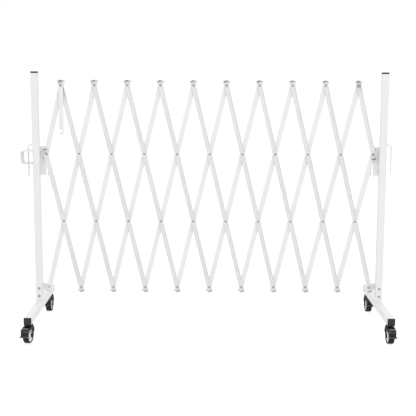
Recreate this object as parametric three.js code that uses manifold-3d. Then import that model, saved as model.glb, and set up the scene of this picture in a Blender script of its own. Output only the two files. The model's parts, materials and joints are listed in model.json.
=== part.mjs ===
// Expandable safety barrier: two wheeled posts joined by a riveted scissor lattice.
// Millimetres, +Z up, +X along the barrier, -Y towards the side with the brake pedals.

import * as THREE from 'three';
import { mergeVertices } from 'three/addons/utils/BufferGeometryUtils.js';
import Module from 'manifold-3d';

const wasm = await Module();
wasm.setup();

// Running gap between pieces, how far a cut runs past a face, and the weld distance of a mesh
const gap = 0.3;
const overrun = 1;
const weld = 0.0001;

// Lattice: length of a slat from hole to hole, its lean from upright at rest and when closed,
// and how many columns and levels of crossings there are
const linkLength = 270;
const restLean = THREE.MathUtils.degToRad(13.5);
const closedLean = THREE.MathUtils.degToRad(2.05);
const columnCount = 20;
const levelCount = 3;
const columnWidth = linkLength * Math.sin(restLean);
const levelHeight = linkLength * Math.cos(restLean);

// Slat: folded channel with a plastic end cap
const slatWidth = 18;
const slatDepth = 9;
const slatWall = 1.5;
const slatBend = 2;
const slatEnd = 17;
const slatCap = 2;

// Rivets, and the long studs that carry and catch the storage strap
const rivetRadius = 3;
const rivetHead = 4;
const rivetHeadHeight = 1.8;
const studShoulder = 5;
const studHeadHeight = 2.6;

// Storage strap
const strapWidth = 16.5;
const strapThick = 3;
const strapTail = 16;
const strapLead = 9;
const hookMouth = 8;
const strapHookReach = (columnCount - 2) * linkLength * Math.sin(closedLean);

// Foot bar, post and caps
const barSide = 28;
const barLength = 512;
const tubeWall = 1.5;
const postSide = 26;
const postHeight = 888;
const capFlange = 6;
const capLip = 5;
const capPlug = 14;
const cornerRadius = 2;

// Spigot that stands on the foot bar inside the post, and its two cross bolts
const spigotHeight = 70;
const boltRadius = 2.5;
const boltHead = 4.8;
const boltHeadHeight = 3.6;
const lowBoltHeight = 20;
const highBoltHeight = 51;

// Where the lattice hangs between the posts
const pivotAboveBar = 55;
const pivotFromPost = 38;

// Slotted guide bracket and lower pivot bracket, both bent from plate
const bracketPlate = 2.5;
const guideAbovePivot = 28.5;
const guideBelowPivot = 83.5;
const slotMargin = 8;
const bracketReach = 8;
const lowerBracketHalf = 13;
const washerRadius = 8;
const washerThick = 1.5;
const nutHeight = 5;

// Drop pin with its looped bracket on the left post, and the hook rod on the right post
const rodRadius = 3;
const rodFromPost = 18.5;
const pinFromPost = 17.3;
const loopReach = 43;
const loopWidth = 60;
const loopPlate = 3.5;
const loopBend = 13;
const loopTopAbovePivot = 14;
const loopBottomBelowPivot = 39;
const rodTopAbovePivot = 40;
const rodBottomBelowPivot = 87;
const hookBottomBelowPivot = 73;
const rodBend = 9;
const pinBend = 13;
const collarRadius = 5;
const collarHeight = 3;

// Caster
const casterHeight = 72;
const swivelInset = 30;
const trail = 14;
const wheelSides = 24;
const tyreWidth = 23;
const hubWidth = 24;
const hubRadius = 8;
const forkPlate = 2.2;
const crownBelowBar = 6;
const crownThick = 2.8;
const wheelBelowCrown = 3.2;
const crownRadius = 14;
const raceRadius = 11;
const headRadius = 13;
const headThick = 3.6;
const stemRadius = 4;
const stemTop = 14;
const kingFlange = 6.5;
const kingFlangeHeight = 1.4;
const axleRadius = 3;
const axleHead = 6;
const axleHeadHeight = 2.4;
const legFoot = 8;
const legRearDrop = 24;
const legWaist = 3;
const legNotchTop = 12;
const legNotchLow = 21;
const pedalPinOut = 22.6;
const pinBelowCrown = 8.5;
const pedalPinRadius = 2;
const pedalHub = 4.6;
const pedalWidth = 31;
const pedalPlate = 3.2;
const pedalReach = 51;
const pedalTopRise = 5;
const pedalTopLedge = 7;
const pedalThumb = 9.5;
const thumbBelowPin = 4;
const pedalLip = 13;
const lipAboveAxle = 2.5;
const ledgeEdge = 1.8;
const ledgeSlope = 4;

// How far the front casters stand turned about their stems, from trailing straight forwards
const leftFrontTurn = THREE.MathUtils.degToRad(-9);
const rightFrontTurn = THREE.MathUtils.degToRad(2);

// Places worked out from the sizes above
const postBoltHeights = [lowBoltHeight, highBoltHeight];
const barTop = casterHeight + barSide;
const swivelFromCentre = barLength / 2 - swivelInset;
const crownTop = casterHeight - crownBelowBar;
const wheelRadius = (crownTop - crownThick - wheelBelowCrown) / 2;
const pivotZ = barTop + pivotAboveBar;
const endPivotX = columnCount * columnWidth / 2;
const postX = endPivotX + pivotFromPost;
const upperPivotZ = pivotZ + 2 * levelHeight;
const guideY = slatDepth + gap / 2 + 1.5 * gap;
const strapY = -(slatDepth + 2 * gap);
const studHeadY = strapY - strapThick - gap;

// Facets of small round pieces, of hexagon heads, of swivel heads and of a bend
const smallSides = 8;
const hexSides = 6;
const headSides = 12;
const bendSteps = 4;

const paint = { color: 0xe9e9e7, roughness: 0.42, metalness: 0.1 };
const blackPlastic = { color: 0x1b1b1c, roughness: 0.55, metalness: 0 };
const darkSteel = { color: 0x2a2a2c, roughness: 0.4, metalness: 0.7 };
const zinc = { color: 0x77787a, roughness: 0.4, metalness: 0.85 };
const tread = { color: 0x232324, roughness: 0.75, metalness: 0 };

// Solids

function solid(geometry) {
  geometry.deleteAttribute('normal');
  geometry.deleteAttribute('uv');
  const merged = mergeVertices(geometry, weld);
  const mesh = new wasm.Mesh({
    numProp: 3,
    vertProperties: new Float32Array(merged.attributes.position.array),
    triVerts: new Uint32Array(merged.index.array),
  });
  return new wasm.Manifold(mesh);
}

function join(...pieces) {
  return pieces.reduce((all, piece) => all.add(piece));
}

function cut(body, ...tools) {
  return tools.reduce((all, tool) => all.subtract(tool), body);
}

// A box from its low corner to its high corner
function box(low, high) {
  const size = high.map((value, k) => value - low[k]);
  const geometry = new THREE.BoxGeometry(...size);
  geometry.translate(...low.map((value, k) => value + size[k] / 2));
  return solid(geometry);
}

// A round bar along 'x', 'y' or 'z' from low to high, through the point given by the other two
function round(axis, radius, low, high, across, up, sides = smallSides) {
  const geometry = new THREE.CylinderGeometry(radius, radius, high - low, sides);
  const middle = (low + high) / 2;
  if (axis === 'x') {
    geometry.rotateZ(-Math.PI / 2);
    geometry.translate(middle, across, up);
  } else if (axis === 'y') {
    geometry.rotateY(Math.PI / sides);
    geometry.translate(across, middle, up);
  } else {
    geometry.rotateX(Math.PI / 2);
    geometry.translate(across, up, middle);
  }
  return solid(geometry);
}

function roundedSquare(side, radius) {
  const half = side / 2;
  const shape = new THREE.Shape();
  shape.moveTo(half, -half + radius);
  shape.lineTo(half, half - radius);
  shape.absarc(half - radius, half - radius, radius, 0, Math.PI / 2);
  shape.lineTo(-half + radius, half);
  shape.absarc(-half + radius, half - radius, radius, Math.PI / 2, Math.PI);
  shape.lineTo(-half, -half + radius);
  shape.absarc(-half + radius, -half + radius, radius, Math.PI, 1.5 * Math.PI);
  shape.lineTo(half - radius, -half);
  shape.absarc(half - radius, -half + radius, radius, 1.5 * Math.PI, 2 * Math.PI);
  return shape;
}

// A shape in X and Y, raised along Z from low to high
function raise(shape, low, high, curveSegments = 2) {
  const settings = { depth: high - low, bevelEnabled: false, curveSegments };
  const geometry = new THREE.ExtrudeGeometry(shape, settings);
  geometry.translate(0, 0, low);
  return geometry;
}

function squareTube(side, wall, low, high) {
  const outer = raise(roundedSquare(side, cornerRadius), low, high);
  const inner = side / 2 - wall;
  const bore = box([-inner, -inner, low - overrun], [inner, inner, high + overrun]);
  return cut(solid(outer), bore);
}

// A shape drawn in Y and Z, given its thickness along X
function sideways(shape, low, high, curveSegments = 3) {
  const geometry = raise(shape, low, high, curveSegments);
  geometry.rotateY(Math.PI / 2);
  geometry.rotateX(Math.PI / 2);
  return solid(geometry);
}

// A line through points, with one extrusion step between each two of them
class BentLine extends THREE.Curve {
  constructor(points) {
    super();
    this.points = points;
  }

  getPoint(t) {
    const last = this.points.length - 2;
    const at = t * (last + 1);
    const k = Math.min(Math.floor(at), last);
    return this.points[k].clone().lerp(this.points[k + 1], at - k);
  }

  getPointAt(t) {
    return this.getPoint(t);
  }

  getTangentAt(t) {
    return this.getTangent(t);
  }
}

// A round rod from start to end with one bend at the corner between them
function bentRod(start, corner, end, radius, bend) {
  const enter = corner.clone().add(start.clone().sub(corner).setLength(bend));
  const leave = corner.clone().add(end.clone().sub(corner).setLength(bend));
  const turn = new THREE.QuadraticBezierCurve3(enter, corner, leave).getPoints(bendSteps);
  const extrudePath = new BentLine([start, ...turn, end]);
  const section = new THREE.Shape();
  section.absarc(0, 0, radius, 0, 2 * Math.PI);
  const settings = { steps: bendSteps + 2, extrudePath, curveSegments: smallSides / 2 };
  return solid(new THREE.ExtrudeGeometry(section, settings));
}

const barrier = new THREE.Group();

function addNode(name, body, look, place = [0, 0, 0], parent = barrier) {
  const out = body.getMesh();
  const geometry = new THREE.BufferGeometry();
  geometry.setAttribute('position', new THREE.BufferAttribute(new Float32Array(out.vertProperties), 3));
  geometry.setIndex(new THREE.BufferAttribute(new Uint32Array(out.triVerts), 1));
  geometry.computeVertexNormals();
  const mesh = new THREE.Mesh(geometry, new THREE.MeshStandardMaterial({ ...look, flatShading: true }));
  mesh.name = name;
  mesh.position.set(...place);
  parent.add(mesh);
  return mesh;
}

// Scissor slats. Each is drawn upright with its lowest hole at the origin, its web next to Y = 0
// and its flanges pointing away; side is -1 for the front layer and 1 for the rear layer.

function channelShape(side) {
  const half = slatWidth / 2;
  const back = side * gap / 2;
  const lip = side * (gap / 2 + slatDepth);
  const inner = side * (gap / 2 + slatWall);
  const shape = new THREE.Shape();
  shape.moveTo(-half, lip);
  shape.lineTo(-half, back + side * slatBend);
  shape.quadraticCurveTo(-half, back, -half + slatBend, back);
  shape.lineTo(half - slatBend, back);
  shape.quadraticCurveTo(half, back, half, back + side * slatBend);
  shape.lineTo(half, lip);
  shape.lineTo(half - slatWall, lip);
  shape.lineTo(half - slatWall, inner);
  shape.lineTo(-half + slatWall, inner);
  shape.lineTo(-half + slatWall, lip);
  return shape;
}

function slatEndCap(side, z, outward) {
  const half = slatWidth / 2;
  const depths = [side * gap / 2, side * (gap / 2 + slatDepth)].sort((a, b) => a - b);
  const heights = [z - outward * slatWall, z + outward * slatCap].sort((a, b) => a - b);
  return box([-half, depths[0], heights[0]], [half, depths[1], heights[1]]);
}

function slatBlank(side, pitches) {
  const top = pitches * linkLength + slatEnd;
  const channel = solid(raise(channelShape(side), -slatEnd, top, 1));
  return join(channel, slatEndCap(side, top, 1), slatEndCap(side, -slatEnd, -1));
}

// A piece turned on a line along Y at height z; steps are [y, radius] from front to back
function turned(steps, z, sides = smallSides) {
  const first = new THREE.Vector2(0, steps[0][0]);
  const last = new THREE.Vector2(0, steps[steps.length - 1][0]);
  const profile = [first, ...steps.map(([y, radius]) => new THREE.Vector2(radius, y)), last];
  const geometry = new THREE.LatheGeometry(profile, sides);
  geometry.rotateY(Math.PI / sides);
  geometry.translate(0, 0, z);
  return solid(geometry);
}

// Faces of the two webs: where a front head sits off the front slat, and the back of the rear web
const frontSeat = -(gap / 2 + slatWall + gap);
const rearWeb = gap / 2 + slatWall;

function rivet(z) {
  return turned([
    [frontSeat - rivetHeadHeight, rivetHead],
    [frontSeat, rivetHead],
    [frontSeat, rivetRadius],
    [rearWeb - slatWall / 2, rivetRadius],
    [rearWeb - slatWall / 2, rivetHead],
    [rearWeb + rivetHeadHeight, rivetHead],
  ], z);
}

// A rivet that carries a shoulder, a neck for the strap and a broad head in front of the slats
function longStud(z) {
  return turned([
    [studHeadY - studHeadHeight, studShoulder],
    [studHeadY, studShoulder],
    [studHeadY, rivetRadius],
    [strapY + gap, rivetRadius],
    [strapY + gap, studShoulder],
    [frontSeat, studShoulder],
    [frontSeat, rivetRadius],
    [rearWeb - slatWall / 2, rivetRadius],
    [rearWeb - slatWall / 2, rivetHead],
    [rearWeb + rivetHeadHeight, rivetHead],
  ], z);
}

function slatHole(side, z) {
  const inner = -overrun - slatDepth;
  const outer = overrun + slatDepth;
  const [low, high] = side < 0 ? [inner, 0] : [0, outer];
  return round('y', rivetRadius + gap, low, high, 0, z);
}

// Rear slats rise to the right and carry the rivets; foot is the half pitch of their lowest hole
function risingSlat(index, foot, level, pitches) {
  let body = slatBlank(1, pitches);
  for (let hole = 0; hole <= pitches; hole += 1) {
    const at = foot + hole;
    const row = level + hole;
    const z = hole * linkLength;
    const onPost = (at === 0 || at === columnCount) && row !== 1;
    const onStrap = row === levelCount && (at === 1 || at === columnCount - 1);
    if (onPost) {
      body = cut(body, slatHole(1, z));
    } else {
      body = join(body, onStrap ? longStud(z) : rivet(z));
    }
  }
  placeSlat(`slat_rising_${index}`, body, foot, level, 1);
}

// Front slats fall to the right and turn on the rivets
function fallingSlat(index, foot, level, pitches) {
  let body = slatBlank(-1, pitches);
  for (let hole = 0; hole <= pitches; hole += 1) {
    body = cut(body, slatHole(-1, hole * linkLength));
  }
  placeSlat(`slat_falling_${index}`, body, foot, level, -1);
}

function placeSlat(name, body, foot, level, lean) {
  const x = foot * columnWidth - endPivotX;
  const z = pivotZ + level * levelHeight;
  const mesh = addNode(name, body, paint, [x, 0, z]);
  mesh.rotation.y = lean * restLean;
}

function makeLattice() {
  const count = columnCount / 2 + 1;
  for (let k = 0; k < count; k += 1) {
    const foot = 2 * k - 2;
    const level = foot < 0 ? 2 : 0;
    const start = Math.max(foot, 0);
    const pitches = Math.min(levelCount - level, columnCount - start);
    risingSlat(k + 1, start, level, pitches);
  }
  for (let k = 0; k < count; k += 1) {
    const foot = 2 * k + 2;
    const level = foot > columnCount ? 2 : 0;
    const start = Math.min(foot, columnCount);
    const pitches = Math.min(levelCount - level, start);
    fallingSlat(k + 1, start, level, pitches);
  }
}

// Storage strap: a flat bar that hangs from the first upper stud and hooks over the last one

function strapShape() {
  const half = strapWidth / 2;
  const reach = strapHookReach;
  const mouth = hookMouth / 2;
  const shape = new THREE.Shape();
  shape.absarc(0, 0, half, 0, Math.PI);
  shape.lineTo(-half, -reach + mouth);
  shape.lineTo(0, -reach + mouth);
  shape.absarc(0, -reach, mouth, Math.PI / 2, -Math.PI / 2, true);
  shape.lineTo(-half, -reach - mouth);
  shape.lineTo(-half, -reach - strapLead);
  shape.lineTo(-half + strapLead, -reach - strapTail);
  shape.lineTo(half - strapLead / 2, -reach - strapTail);
  shape.lineTo(half, -reach - strapTail + strapLead / 2);
  return shape;
}

function makeStrap() {
  const plate = raise(strapShape(), 0, strapThick, 6);
  plate.rotateX(Math.PI / 2);
  plate.translate(0, strapY, 0);
  const hole = round('y', rivetRadius + gap, strapY - strapThick - overrun, strapY + overrun, 0, 0);
  addNode('storage_strap', cut(solid(plate), hole), paint, tipPlace(1));
}

function tipPlace(at) {
  return [at * columnWidth - endPivotX, 0, pivotZ + levelCount * levelHeight];
}

// Posts and feet. side is -1 at the left and 1 at the right; inward is the way to the lattice.

function makePost(side, word) {
  const low = barTop + gap;
  const high = barTop + postHeight;
  let body = squareTube(postSide, tubeWall, low, high);
  for (const height of postBoltHeights) {
    body = join(body, crossBolt(barTop + height));
  }
  addNode(`post_${word}`, body, paint, [side * postX, 0, 0]);
  const inner = postSide / 2 - tubeWall - gap;
  const flange = solid(raise(roundedSquare(postSide, cornerRadius), high + gap, high + capFlange));
  const plug = box([-inner, -inner, high - capPlug], [inner, inner, high + capFlange / 2]);
  addNode(`post_cap_${word}`, join(flange, plug), blackPlastic, [side * postX, 0, 0]);
}

function crossBolt(z) {
  const face = postSide / 2;
  const shank = round('y', boltRadius, -face - overrun, face + overrun, 0, z);
  const head = round('y', boltHead, -face - boltHeadHeight, -face + tubeWall / 2, 0, z, hexSides);
  const nut = round('y', boltHead, face - tubeWall / 2, face + nutHeight, 0, z, hexSides);
  return join(shank, head, nut);
}

function spigot() {
  const outer = postSide / 2 - tubeWall - gap;
  const inner = outer - tubeWall;
  const low = barTop - tubeWall / 2;
  let body = box([-outer, -outer, low], [outer, outer, barTop + spigotHeight]);
  body = cut(body, box([-inner, -inner, barTop], [inner, inner, barTop + spigotHeight + overrun]));
  for (const height of postBoltHeights) {
    const hole = round('y', boltRadius + gap, -outer - overrun, outer + overrun, 0, barTop + height);
    body = cut(body, hole);
  }
  return body;
}

function makeFoot(side, word) {
  const half = barLength / 2;
  const middle = casterHeight + barSide / 2;
  const lying = new THREE.ExtrudeGeometry(
    roundedSquare(barSide, cornerRadius), { depth: barLength, bevelEnabled: false, curveSegments: 2 });
  lying.translate(0, 0, -half);
  lying.rotateX(Math.PI / 2);
  lying.translate(0, 0, middle);
  const inner = barSide / 2 - tubeWall;
  const bore = box([-inner, -half - overrun, middle - inner], [inner, half + overrun, middle + inner]);
  let body = join(cut(solid(lying), bore), spigot());
  for (const end of [-1, 1]) {
    const y = end * swivelFromCentre;
    const low = casterHeight - overrun;
    const high = casterHeight + 2 * tubeWall;
    body = cut(body, round('z', stemRadius + gap, low, high, 0, y, headSides));
  }
  addNode(`foot_bar_${word}`, body, paint, [side * postX, 0, 0]);
  makeFootCap(side, `${word}_front`, -1);
  makeFootCap(side, `${word}_rear`, 1);
}

function makeFootCap(side, word, end) {
  const middle = casterHeight + barSide / 2;
  const face = barLength / 2;
  const inner = barSide / 2 - tubeWall - gap;
  const lid = raise(roundedSquare(barSide, cornerRadius), face + gap, face + capLip);
  lid.rotateX(-end * Math.PI / 2);
  lid.translate(0, 0, middle);
  const plugLength = barLength / 2 - swivelFromCentre - headNutRadius - 2 * gap;
  const ends = [end * (face - plugLength), end * (face + capLip / 2)].sort((a, b) => a - b);
  const plug = box([-inner, ends[0], middle - inner], [inner, ends[1], middle + inner]);
  addNode(`foot_cap_${word}`, join(solid(lid), plug), blackPlastic, [side * postX, 0, 0]);
}

// Brackets. Both are angles: one leg lies on the post's inner face, the other reaches inwards
// behind the slats and carries the pivot bolt.

function angleBracket(low, high) {
  const reach = pivotFromPost + bracketReach;
  const face = postSide / 2 + gap;
  const front = -postSide / 2 + cornerRadius;
  const leg = box([face, front, low], [face + bracketPlate, guideY + bracketPlate, high]);
  return join(leg, box([face, guideY, low], [reach, guideY + bracketPlate, high]));
}

function mirrored(body, side) {
  return side < 0 ? body : body.mirror([1, 0, 0]);
}

function makeGuideBracket(side, word) {
  const low = upperPivotZ - guideBelowPivot;
  const high = upperPivotZ + guideAbovePivot;
  const half = boltRadius + gap;
  const slotHigh = high - slotMargin - half + gap;
  const behind = guideY + bracketPlate + overrun;
  const before = guideY - overrun;
  const slot = join(
    box([pivotFromPost - half, before, low - overrun], [pivotFromPost + half, behind, slotHigh]),
    round('y', half, before, behind, pivotFromPost, slotHigh));
  const body = cut(angleBracket(low, high), slot);
  addNode(`guide_bracket_${word}`, mirrored(body, side), paint, [side * postX, 0, 0]);
}

function makeLowerBracket(side, word) {
  const body = angleBracket(pivotZ - lowerBracketHalf, pivotZ + lowerBracketHalf);
  const behind = guideY + bracketPlate + overrun;
  const hole = round('y', boltRadius + gap, guideY - overrun, behind, pivotFromPost, pivotZ);
  addNode(`lower_bracket_${word}`, mirrored(cut(body, hole), side), paint, [side * postX, 0, 0]);
}

// Pivot bolt with its head in front of the slat, a spacer behind it and a washer and nut at the back
function pivotBolt(headY, spacerY) {
  const back = guideY + bracketPlate + gap;
  const end = back + washerThick + nutHeight;
  const shaft = turned([
    [headY - boltHeadHeight / 2, rivetRadius],
    [spacerY, rivetRadius],
    [spacerY, studShoulder],
    [guideY - gap, studShoulder],
    [guideY - gap, boltRadius],
    [back, boltRadius],
    [back, washerRadius],
    [back + washerThick, washerRadius],
    [back + washerThick, boltRadius],
    [end + overrun, boltRadius],
  ], 0);
  return join(
    shaft,
    round('y', boltHead, headY - boltHeadHeight, headY, 0, 0, hexSides),
    round('y', boltHead, back + washerThick / 2, end, 0, 0, hexSides));
}

function makePivotBolts(side, word) {
  const rear = rearWeb + gap;
  const x = side * endPivotX;
  addNode(`guide_bolt_${word}`, pivotBolt(frontSeat, rear), darkSteel, [x, 0, upperPivotZ]);
  const single = side < 0 ? pivotBolt(-gap / 2, rear) : pivotBolt(frontSeat, gap / 2);
  addNode(`lower_bolt_${word}`, single, darkSteel, [x, 0, pivotZ]);
}

// Loop bracket and drop pin on the left, hook rod on the right

const loopTop = upperPivotZ + loopTopAbovePivot;
const loopBottom = upperPivotZ - loopBottomBelowPivot;

function loopShape() {
  const outerReach = loopReach;
  const inset = loopPlate;
  const topBend = loopBend / 2;
  const shape = new THREE.Shape();
  shape.moveTo(gap, loopBottom);
  shape.lineTo(outerReach - loopBend, loopBottom);
  shape.absarc(outerReach - loopBend, loopBottom + loopBend, loopBend, -Math.PI / 2, 0);
  shape.lineTo(outerReach, loopTop - topBend);
  shape.absarc(outerReach - topBend, loopTop - topBend, topBend, 0, Math.PI / 2);
  shape.lineTo(gap, loopTop);
  shape.lineTo(gap, loopTop - inset);
  shape.lineTo(outerReach - topBend, loopTop - inset);
  shape.absarc(outerReach - topBend, loopTop - topBend, topBend - inset, Math.PI / 2, 0, true);
  shape.lineTo(outerReach - inset, loopBottom + loopBend);
  const lowBend = loopBend - inset;
  shape.absarc(outerReach - loopBend, loopBottom + loopBend, lowBend, 0, -Math.PI / 2, true);
  shape.lineTo(gap, loopBottom + inset);
  return shape;
}

function makeLoopBracket() {
  const strip = raise(loopShape(), -loopWidth / 2, loopWidth / 2, bendSteps);
  strip.rotateX(Math.PI / 2);
  const hole = round('z', rodRadius + gap, loopBottom - overrun, loopTop + overrun, pinFromPost, 0);
  const body = cut(solid(strip), hole).mirror([1, 0, 0]);
  addNode('loop_bracket', body, paint, [-postX - postSide / 2, 0, 0]);
}

function makeDropPin() {
  const x = -(postX + postSide / 2 + pinFromPost);
  const top = upperPivotZ + rodTopAbovePivot;
  const foot = new THREE.Vector3(0, 0, upperPivotZ - rodBottomBelowPivot);
  const corner = new THREE.Vector3(0, 0, top - rodRadius);
  const tip = new THREE.Vector3(pinFromPost - 2 * gap, 0, top - rodRadius);
  const collar = round('z', collarRadius, loopTop + gap, loopTop + gap + collarHeight, 0, 0);
  addNode('drop_pin', join(bentRod(foot, corner, tip, rodRadius, pinBend), collar), zinc, [x, 0, 0]);
}

function makeHookRod() {
  const x = postX + postSide / 2 + rodFromPost;
  const top = upperPivotZ + rodTopAbovePivot;
  const foot = new THREE.Vector3(0, 0, upperPivotZ - hookBottomBelowPivot);
  const corner = new THREE.Vector3(0, 0, top - rodRadius);
  const root = new THREE.Vector3(-rodFromPost + gap, 0, top - rodRadius);
  addNode('hook_rod', bentRod(foot, corner, root, rodRadius, rodBend), paint, [x, 0, 0]);
}

// Casters, drawn with the swivel axis on Z and the wheel trailing towards -Y

const headNutRadius = 6.5;
const axleZ = wheelRadius;
const pinY = -trail - pedalPinOut;
const pinZ = crownTop - pinBelowCrown;

function casterHead() {
  const top = casterHeight - gap;
  const crownLow = crownTop - crownThick;
  const nutLow = casterHeight + tubeWall + gap;
  return join(
    round('z', headRadius, top - headThick, top, 0, 0, headSides),
    round('z', stemRadius, crownLow - gap - kingFlangeHeight, casterHeight + stemTop, 0, 0, headSides),
    round('z', kingFlange, crownLow - gap - kingFlangeHeight, crownLow - gap, 0, 0),
    round('z', headNutRadius, nutLow, nutLow + nutHeight, 0, 0, hexSides));
}

// A leg goes down behind the wheel's middle to the axle, and its arm reaches forwards to the pedal
function legShape() {
  const shape = new THREE.Shape();
  shape.moveTo(crownRadius, crownTop);
  shape.lineTo(crownRadius, crownTop - legRearDrop);
  shape.absarc(-trail, axleZ, legFoot, -Math.PI / 4, -1.5 * Math.PI, true);
  shape.lineTo(legWaist, crownTop - legNotchLow);
  shape.lineTo(legWaist, crownTop - legNotchTop);
  shape.absarc(pinY, pinZ, pedalHub, -Math.PI / 3, -1.5 * Math.PI, true);
  shape.lineTo(-crownRadius, crownTop);
  return shape;
}

function casterFork() {
  const inner = hubWidth / 2 + gap;
  const outer = inner + forkPlate;
  const crownLow = crownTop - crownThick;
  const crown = box([-outer, -crownRadius, crownLow], [outer, crownRadius, crownTop]);
  const raceTop = casterHeight - gap - headThick - gap;
  const body = join(
    crown,
    sideways(legShape(), -outer, -inner),
    sideways(legShape(), inner, outer),
    round('z', raceRadius, crownTop - crownThick / 2, raceTop, 0, 0, headSides),
    round('x', axleRadius, -outer - axleHeadHeight, outer + axleHeadHeight, -trail, axleZ),
    round('x', axleHead, -outer - axleHeadHeight, -outer + forkPlate / 2, -trail, axleZ, hexSides),
    round('x', axleHead, outer - forkPlate / 2, outer + axleHeadHeight, -trail, axleZ, hexSides),
    round('x', pedalPinRadius, -outer - forkPlate / 2, outer + forkPlate / 2, pinY, pinZ));
  const kingHole = round('z', stemRadius + gap, crownLow - overrun, raceTop + overrun, 0, 0, headSides);
  return cut(body, kingHole);
}

// Half section of the wheel: radius shares and half width shares, from the bore to the tread
const wheelRadiusShares = [0.86, 0.9, 1];
const wheelWidthShares = [0.62, 1, 0.74];

function casterWheel() {
  const outer = wheelRadius / Math.cos(Math.PI / wheelSides);
  const bore = axleRadius + gap;
  const hub = hubWidth / 2;
  const half = wheelRadiusShares.map(
    (share, k) => new THREE.Vector2(share * outer, wheelWidthShares[k] * tyreWidth / 2));
  const upper = [new THREE.Vector2(bore, hub), new THREE.Vector2(hubRadius, hub), ...half];
  const lower = upper.map((point) => new THREE.Vector2(point.x, -point.y)).reverse();
  const profile = [...upper, ...lower, upper[0].clone()].reverse();
  const geometry = new THREE.LatheGeometry(profile, wheelSides);
  geometry.rotateY(Math.PI / wheelSides);
  geometry.rotateZ(Math.PI / 2);
  return solid(geometry);
}

// Brake pedal: a hub on the cross pin, a foot plate in front of the tread, and on it a thumb ledge
// and a lip that are wider than the plate
function pedalHubShape() {
  const shape = new THREE.Shape();
  shape.absarc(pinY, pinZ, pedalHub, -Math.PI / 2, Math.PI / 2);
  shape.lineTo(-pedalReach, pinZ + pedalHub);
  shape.lineTo(-pedalReach, pinZ - pedalHub);
  return shape;
}

function pedalPlateShape() {
  const front = -pedalReach;
  const top = pinZ + pedalTopRise;
  const low = axleZ + lipAboveAxle;
  const shape = new THREE.Shape();
  shape.moveTo(front, top);
  shape.lineTo(front - pedalTopLedge, top - ledgeEdge);
  shape.lineTo(front - pedalPlate, pinZ);
  shape.lineTo(front - 2 * pedalPlate, low + ledgeSlope);
  shape.lineTo(front - 2 * pedalPlate, low);
  shape.lineTo(front - pedalPlate, low);
  shape.lineTo(front - pedalPlate, (pinZ + low) / 2);
  shape.lineTo(front, pinZ - pedalHub);
  return shape;
}

// A ledge that slopes down to its edge; reach is how far it stands out and z where its edge is
function pedalLedge(reach, z) {
  const root = -pedalReach - pedalPlate / 2;
  const shape = new THREE.Shape();
  shape.moveTo(root - pedalPlate / 2, z + ledgeSlope);
  shape.lineTo(-pedalReach - reach, z + ledgeEdge);
  shape.lineTo(-pedalReach - reach, z);
  shape.lineTo(root - pedalPlate / 2, z - ledgeEdge / 2);
  return sideways(shape, -pedalWidth / 2, pedalWidth / 2);
}

function casterPedal() {
  const half = hubWidth / 2;
  const body = join(
    sideways(pedalHubShape(), -half, half),
    sideways(pedalPlateShape(), -half, half),
    pedalLedge(pedalThumb, pinZ - thumbBelowPin - ledgeEdge),
    pedalLedge(pedalLip, axleZ + lipAboveAxle));
  return cut(body, round('x', pedalPinRadius + gap, -half - overrun, half + overrun, pinY, pinZ));
}

function makeCaster(side, word, y, turn) {
  const x = side * postX;
  const axle = [x + trail * Math.sin(turn), y - trail * Math.cos(turn), axleZ];
  addNode(`caster_head_${word}`, casterHead(), darkSteel, [x, y, 0]);
  const turning = [
    addNode(`caster_fork_${word}`, casterFork(), darkSteel, [x, y, 0]),
    addNode(`caster_pedal_${word}`, casterPedal(), blackPlastic, [x, y, 0]),
    addNode(`caster_wheel_${word}`, casterWheel(), tread, axle)];
  for (const node of turning) {
    node.rotation.z = turn;
  }
}

function makeFrame(side, word, frontTurn) {
  makePost(side, word);
  makeFoot(side, word);
  makeGuideBracket(side, word);
  makeLowerBracket(side, word);
  makePivotBolts(side, word);
  makeCaster(side, `${word}_front`, -swivelFromCentre, frontTurn);
  makeCaster(side, `${word}_rear`, swivelFromCentre, 0);
}

makeFrame(-1, 'left', leftFrontTurn);
makeFrame(1, 'right', rightFrontTurn);
makeLoopBracket();
makeDropPin();
makeHookRod();
makeLattice();
makeStrap();

// The origin is the middle of the footprint: the loop bracket and the hook rod set the ends,
// the left front pedal and the rear foot caps set the sides
barrier.updateMatrixWorld(true);
const middle = new THREE.Box3().setFromObject(barrier, true).getCenter(new THREE.Vector3());
const part = new THREE.Group();
barrier.position.set(-middle.x, -middle.y, 0);
part.add(barrier);

export default part;
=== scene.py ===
import json
from math import cos, pi, radians, sin

import bmesh
import bpy
from mathutils import Matrix, Vector

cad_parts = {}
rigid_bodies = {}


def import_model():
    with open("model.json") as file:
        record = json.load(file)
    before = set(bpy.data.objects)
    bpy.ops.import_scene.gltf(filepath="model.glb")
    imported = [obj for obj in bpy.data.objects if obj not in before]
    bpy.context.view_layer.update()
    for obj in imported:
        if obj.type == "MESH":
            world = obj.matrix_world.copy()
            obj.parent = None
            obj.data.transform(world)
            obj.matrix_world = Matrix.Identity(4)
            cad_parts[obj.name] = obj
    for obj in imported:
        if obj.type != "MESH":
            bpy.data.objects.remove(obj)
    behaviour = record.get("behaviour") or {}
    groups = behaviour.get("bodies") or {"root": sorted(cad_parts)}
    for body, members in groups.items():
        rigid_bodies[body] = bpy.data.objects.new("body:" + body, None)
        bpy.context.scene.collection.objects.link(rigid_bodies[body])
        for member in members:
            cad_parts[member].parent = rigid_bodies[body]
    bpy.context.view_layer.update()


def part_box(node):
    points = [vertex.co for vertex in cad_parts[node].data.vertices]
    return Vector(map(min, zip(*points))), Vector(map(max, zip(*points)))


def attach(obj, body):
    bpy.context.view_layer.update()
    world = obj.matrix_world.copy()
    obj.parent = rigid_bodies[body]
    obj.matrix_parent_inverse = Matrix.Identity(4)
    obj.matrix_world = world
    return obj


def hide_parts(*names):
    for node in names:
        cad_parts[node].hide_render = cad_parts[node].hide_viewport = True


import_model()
mm = 0.001

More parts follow.
